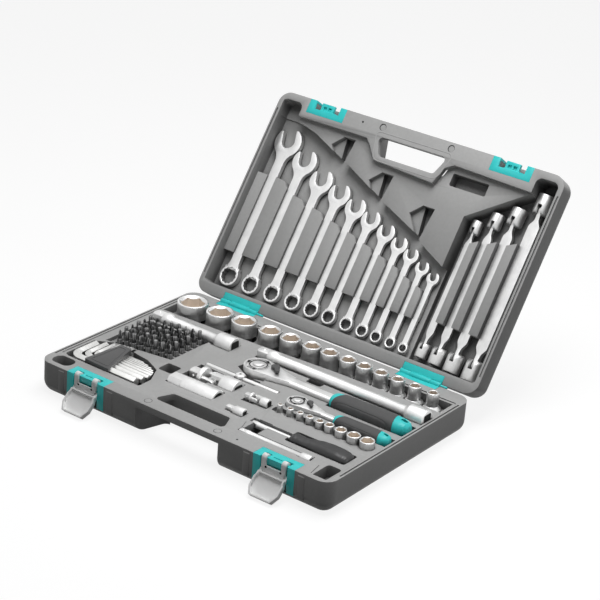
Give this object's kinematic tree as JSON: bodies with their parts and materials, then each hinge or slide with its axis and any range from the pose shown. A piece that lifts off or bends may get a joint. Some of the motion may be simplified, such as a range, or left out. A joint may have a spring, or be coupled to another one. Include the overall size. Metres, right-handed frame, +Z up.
{
  "type": "socket wrench set in case",
  "caption": "Open two-half carrying case with sockets, ratchets, extension bars, bits and hexagon keys in its base, and combination and flex-head wrenches in its lid",
  "frame": {"origin": "centre of the underside of the lower half", "axes": "+X to the right along the hinge line, +Y from the latches to the hinges, +Z up"},
  "size_m": [0.42, 0.4862, 0.2716],
  "materials": {
    "case_plastic": "fine grained blow-moulded grey plastic",
    "teal_plastic": "smooth teal plastic",
    "latch_plastic": "smooth pale grey plastic",
    "satin_chrome": "satin chrome plate",
    "socket_steel": "satin chrome plate with polished rims",
    "key_steel": "bright nickel plate",
    "bit_steel": "dull grey steel",
    "black_plastic": "black, satin",
    "grip_plastic": "black grip with teal collars"
  },
  "bodies": {
    "base": {"base_case": "case_plastic", "base_fittings": "teal_plastic"},
    "lid": {"lid_case": "case_plastic", "lid_fittings": "teal_plastic"},
    "latch_link_left": {"latch_link_left": "latch_plastic"},
    "latch_lever_left": {"latch_lever_left": "latch_plastic"},
    "latch_link_right": {"latch_link_right": "latch_plastic"},
    "latch_lever_right": {"latch_lever_right": "latch_plastic"},
    "wrench_19": {"wrench_19": "satin_chrome"},
    "wrench_17": {"wrench_17": "satin_chrome"},
    "wrench_16": {"wrench_16": "satin_chrome"},
    "wrench_15": {"wrench_15": "satin_chrome"},
    "wrench_14": {"wrench_14": "satin_chrome"},
    "wrench_13": {"wrench_13": "satin_chrome"},
    "wrench_12": {"wrench_12": "satin_chrome"},
    "wrench_11": {"wrench_11": "satin_chrome"},
    "wrench_10": {"wrench_10": "satin_chrome"},
    "wrench_9": {"wrench_9": "satin_chrome"},
    "wrench_8": {"wrench_8": "satin_chrome"},
    "flex_bar_8_9": {"flex_bar_8_9": "satin_chrome"},
    "flex_head_8": {"flex_head_8": "satin_chrome"},
    "flex_head_9": {"flex_head_9": "satin_chrome"},
    "flex_bar_10_11": {"flex_bar_10_11": "satin_chrome"},
    "flex_head_10": {"flex_head_10": "satin_chrome"},
    "flex_head_11": {"flex_head_11": "satin_chrome"},
    "flex_bar_12_13": {"flex_bar_12_13": "satin_chrome"},
    "flex_head_12": {"flex_head_12": "satin_chrome"},
    "flex_head_13": {"flex_head_13": "satin_chrome"},
    "flex_bar_14_15": {"flex_bar_14_15": "satin_chrome"},
    "flex_head_14": {"flex_head_14": "satin_chrome"},
    "flex_head_15": {"flex_head_15": "satin_chrome"},
    "sockets_half_inch": {"sockets_half_inch": "socket_steel"},
    "sockets_quarter_inch": {"sockets_quarter_inch": "socket_steel"},
    "bits": {"bits": "bit_steel"},
    "hex_keys": {"hex_keys": "key_steel", "hex_key_holder": "black_plastic"},
    "extension_half_long": {"extension_half_long": "satin_chrome"},
    "extension_half_short": {"extension_half_short": "satin_chrome"},
    "extension_quarter_long": {"extension_quarter_long": "satin_chrome"},
    "extension_quarter_short": {"extension_quarter_short": "satin_chrome"},
    "spinner_handle": {"spinner_handle": "grip_plastic"},
    "spark_plug_socket": {"spark_plug_socket": "socket_steel"},
    "ratchet_half": {"ratchet_half_body": "satin_chrome", "ratchet_half_grip": "grip_plastic"},
    "ratchet_half_drive": {"ratchet_half_drive": "satin_chrome"},
    "ratchet_half_lever": {"ratchet_half_lever": "black_plastic"},
    "ratchet_half_button": {"ratchet_half_button": "satin_chrome"},
    "ratchet_quarter": {"ratchet_quarter_body": "satin_chrome", "ratchet_quarter_grip": "grip_plastic"},
    "ratchet_quarter_drive": {"ratchet_quarter_drive": "satin_chrome"},
    "ratchet_quarter_lever": {"ratchet_quarter_lever": "black_plastic"},
    "ratchet_quarter_button": {"ratchet_quarter_button": "satin_chrome"},
    "t_bar": {"t_bar": "satin_chrome"},
    "t_bar_head": {"t_bar_head": "satin_chrome"},
    "universal_half_socket": {"universal_half_socket": "satin_chrome"},
    "universal_half_cross": {"universal_half_cross": "satin_chrome"},
    "universal_half_fork": {"universal_half_fork": "satin_chrome"},
    "universal_quarter_socket": {"universal_quarter_socket": "satin_chrome"},
    "universal_quarter_cross": {"universal_quarter_cross": "satin_chrome"},
    "universal_quarter_fork": {"universal_quarter_fork": "satin_chrome"}
  },
  "joints": [
    {"name": "lid_hinge", "type": "hinge", "parent": "base", "child": "lid", "pos_m": [0, 0.141, 0.0412], "axis": [-1, 0, 0], "range_deg": [-124.6, 0]},
    {"name": "latch_link_left_turn", "type": "hinge", "parent": "base", "child": "latch_link_left", "pos_m": [-0.1368, -0.135, 0.0394], "axis": [1, 0, 0], "range_deg": [-150, 0]},
    {"name": "latch_lever_left_turn", "type": "hinge", "parent": "latch_link_left", "child": "latch_lever_left", "pos_m": [-0.1368, -0.136, 0.0244], "axis": [1, 0, 0], "range_deg": [0, 194]},
    {"name": "latch_link_right_turn", "type": "hinge", "parent": "base", "child": "latch_link_right", "pos_m": [0.1368, -0.135, 0.0394], "axis": [1, 0, 0], "range_deg": [-150, 0]},
    {"name": "latch_lever_right_turn", "type": "hinge", "parent": "latch_link_right", "child": "latch_lever_right", "pos_m": [0.1368, -0.136, 0.0244], "axis": [1, 0, 0], "range_deg": [0, 194]},
    {"name": "wrench_19_lift", "type": "slide", "parent": "lid", "child": "wrench_19", "axis": [0, -0.8231, 0.5678], "range_m": [0, 0.03]},
    {"name": "wrench_17_lift", "type": "slide", "parent": "lid", "child": "wrench_17", "axis": [0, -0.8231, 0.5678], "range_m": [0, 0.03]},
    {"name": "wrench_16_lift", "type": "slide", "parent": "lid", "child": "wrench_16", "axis": [0, -0.8231, 0.5678], "range_m": [0, 0.03]},
    {"name": "wrench_15_lift", "type": "slide", "parent": "lid", "child": "wrench_15", "axis": [0, -0.8231, 0.5678], "range_m": [0, 0.03]},
    {"name": "wrench_14_lift", "type": "slide", "parent": "lid", "child": "wrench_14", "axis": [0, -0.8231, 0.5678], "range_m": [0, 0.03]},
    {"name": "wrench_13_lift", "type": "slide", "parent": "lid", "child": "wrench_13", "axis": [0, -0.8231, 0.5678], "range_m": [0, 0.03]},
    {"name": "wrench_12_lift", "type": "slide", "parent": "lid", "child": "wrench_12", "axis": [0, -0.8231, 0.5678], "range_m": [0, 0.03]},
    {"name": "wrench_11_lift", "type": "slide", "parent": "lid", "child": "wrench_11", "axis": [0, -0.8231, 0.5678], "range_m": [0, 0.03]},
    {"name": "wrench_10_lift", "type": "slide", "parent": "lid", "child": "wrench_10", "axis": [0, -0.8231, 0.5678], "range_m": [0, 0.03]},
    {"name": "wrench_9_lift", "type": "slide", "parent": "lid", "child": "wrench_9", "axis": [0, -0.8231, 0.5678], "range_m": [0, 0.03]},
    {"name": "wrench_8_lift", "type": "slide", "parent": "lid", "child": "wrench_8", "axis": [0, -0.8231, 0.5678], "range_m": [0, 0.03]},
    {"name": "flex_bar_8_9_lift", "type": "slide", "parent": "lid", "child": "flex_bar_8_9", "axis": [0, -0.8231, 0.5678], "range_m": [0, 0.04]},
    {"name": "flex_head_8_tilt", "type": "hinge", "parent": "flex_bar_8_9", "child": "flex_head_8", "pos_m": [0.1125, 0.26742, 0.1836], "axis": [1, 0, 0], "range_deg": [0, 90]},
    {"name": "flex_head_9_tilt", "type": "hinge", "parent": "flex_bar_8_9", "child": "flex_head_9", "pos_m": [0.1125, 0.18168, 0.0593], "axis": [-1, 0, 0], "range_deg": [0, 90]},
    {"name": "flex_bar_10_11_lift", "type": "slide", "parent": "lid", "child": "flex_bar_10_11", "axis": [0, -0.8231, 0.5678], "range_m": [0, 0.04]},
    {"name": "flex_head_10_tilt", "type": "hinge", "parent": "flex_bar_10_11", "child": "flex_head_10", "pos_m": [0.134, 0.27537, 0.19512], "axis": [1, 0, 0], "range_deg": [0, 90]},
    {"name": "flex_head_11_tilt", "type": "hinge", "parent": "flex_bar_10_11", "child": "flex_head_11", "pos_m": [0.134, 0.18168, 0.0593], "axis": [-1, 0, 0], "range_deg": [0, 90]},
    {"name": "flex_bar_12_13_lift", "type": "slide", "parent": "lid", "child": "flex_bar_12_13", "axis": [0, -0.8231, 0.5678], "range_m": [0, 0.04]},
    {"name": "flex_head_12_tilt", "type": "hinge", "parent": "flex_bar_12_13", "child": "flex_head_12", "pos_m": [0.1575, 0.28218, 0.205], "axis": [1, 0, 0], "range_deg": [0, 90]},
    {"name": "flex_head_13_tilt", "type": "hinge", "parent": "flex_bar_12_13", "child": "flex_head_13", "pos_m": [0.1575, 0.18168, 0.0593], "axis": [-1, 0, 0], "range_deg": [0, 90]},
    {"name": "flex_bar_14_15_lift", "type": "slide", "parent": "lid", "child": "flex_bar_14_15", "axis": [0, -0.8231, 0.5678], "range_m": [0, 0.04]},
    {"name": "flex_head_14_tilt", "type": "hinge", "parent": "flex_bar_14_15", "child": "flex_head_14", "pos_m": [0.184, 0.29524, 0.22393], "axis": [1, 0, 0], "range_deg": [0, 90]},
    {"name": "flex_head_15_tilt", "type": "hinge", "parent": "flex_bar_14_15", "child": "flex_head_15", "pos_m": [0.184, 0.18168, 0.0593], "axis": [-1, 0, 0], "range_deg": [0, 90]},
    {"name": "sockets_half_inch_lift", "type": "slide", "parent": "base", "child": "sockets_half_inch", "axis": [0, 0, 1], "range_m": [0, 0.05]},
    {"name": "sockets_quarter_inch_lift", "type": "slide", "parent": "base", "child": "sockets_quarter_inch", "axis": [0, 0, 1], "range_m": [0, 0.035]},
    {"name": "bits_lift", "type": "slide", "parent": "base", "child": "bits", "axis": [0, 0, 1], "range_m": [0, 0.03]},
    {"name": "hex_keys_lift", "type": "slide", "parent": "base", "child": "hex_keys", "axis": [0, 0, 1], "range_m": [0, 0.03]},
    {"name": "extension_half_long_lift", "type": "slide", "parent": "base", "child": "extension_half_long", "axis": [0, 0, 1], "range_m": [0, 0.04]},
    {"name": "extension_half_short_lift", "type": "slide", "parent": "base", "child": "extension_half_short", "axis": [0, 0, 1], "range_m": [0, 0.04]},
    {"name": "extension_quarter_long_lift", "type": "slide", "parent": "base", "child": "extension_quarter_long", "axis": [0, 0, 1], "range_m": [0, 0.04]},
    {"name": "extension_quarter_short_lift", "type": "slide", "parent": "base", "child": "extension_quarter_short", "axis": [0, 0, 1], "range_m": [0, 0.04]},
    {"name": "spinner_handle_lift", "type": "slide", "parent": "base", "child": "spinner_handle", "axis": [0, 0, 1], "range_m": [0, 0.04]},
    {"name": "spark_plug_socket_lift", "type": "slide", "parent": "base", "child": "spark_plug_socket", "axis": [0, 0, 1], "range_m": [0, 0.04]},
    {"name": "ratchet_half_lift", "type": "slide", "parent": "base", "child": "ratchet_half", "axis": [0, 0, 1], "range_m": [0, 0.045]},
    {"name": "ratchet_half_drive_turn", "type": "hinge", "parent": "ratchet_half", "child": "ratchet_half_drive", "pos_m": [-0.012, 0.0215, 0.04065], "axis": [0, 0, 1], "continuous": true},
    {"name": "ratchet_half_lever_turn", "type": "hinge", "parent": "ratchet_half", "child": "ratchet_half_lever", "pos_m": [0.00865, 0.02745, 0.04065], "axis": [0, 0, 1], "range_deg": [0, 40]},
    {"name": "ratchet_half_button_press", "type": "slide", "parent": "ratchet_half_drive", "child": "ratchet_half_button", "axis": [0, 0, -1], "range_m": [0, 0.0015], "stiffness_N_per_m": 200},
    {"name": "ratchet_quarter_lift", "type": "slide", "parent": "base", "child": "ratchet_quarter", "axis": [0, 0, 1], "range_m": [0, 0.045]},
    {"name": "ratchet_quarter_drive_turn", "type": "hinge", "parent": "ratchet_quarter", "child": "ratchet_quarter_drive", "pos_m": [0.074, -0.0158, 0.04075], "axis": [0, 0, 1], "continuous": true},
    {"name": "ratchet_quarter_lever_turn", "type": "hinge", "parent": "ratchet_quarter", "child": "ratchet_quarter_lever", "pos_m": [0.08875, -0.01155, 0.04075], "axis": [0, 0, 1], "range_deg": [0, 40]},
    {"name": "ratchet_quarter_button_press", "type": "slide", "parent": "ratchet_quarter_drive", "child": "ratchet_quarter_button", "axis": [0, 0, -1], "range_m": [0, 0.0015], "stiffness_N_per_m": 200},
    {"name": "t_bar_lift", "type": "slide", "parent": "base", "child": "t_bar", "axis": [0, 0, 1], "range_m": [0, 0.03]},
    {"name": "t_bar_head_slide", "type": "slide", "parent": "t_bar", "child": "t_bar_head", "axis": [1, 0, 0], "range_m": [0, 0.02]},
    {"name": "universal_half_socket_lift", "type": "slide", "parent": "base", "child": "universal_half_socket", "axis": [0, 0, 1], "range_m": [0, 0.04]},
    {"name": "universal_half_cross_turn", "type": "hinge", "parent": "universal_half_socket", "child": "universal_half_cross", "pos_m": [-0.03376, -0.031, 0.036], "axis": [0, 0, 1], "range_deg": [-15, 15]},
    {"name": "universal_half_fork_tilt", "type": "hinge", "parent": "universal_half_cross", "child": "universal_half_fork", "pos_m": [-0.03376, -0.031, 0.036], "axis": [0, 1, 0], "range_deg": [0, 30]},
    {"name": "universal_quarter_socket_lift", "type": "slide", "parent": "base", "child": "universal_quarter_socket", "axis": [0, 0, 1], "range_m": [0, 0.04]},
    {"name": "universal_quarter_cross_turn", "type": "hinge", "parent": "universal_quarter_socket", "child": "universal_quarter_cross", "pos_m": [0.03774, -0.042, 0.043], "axis": [0, 0, 1], "range_deg": [-15, 15]},
    {"name": "universal_quarter_fork_tilt", "type": "hinge", "parent": "universal_quarter_cross", "child": "universal_quarter_fork", "pos_m": [0.03774, -0.042, 0.043], "axis": [0, 1, 0], "range_deg": [0, 30]}
  ],
  "couplings": [
    {"joint": "latch_lever_left_turn", "follows": "latch_link_left_turn", "ratio": -1.2933},
    {"joint": "latch_lever_right_turn", "follows": "latch_link_right_turn", "ratio": -1.2933}
  ]
}
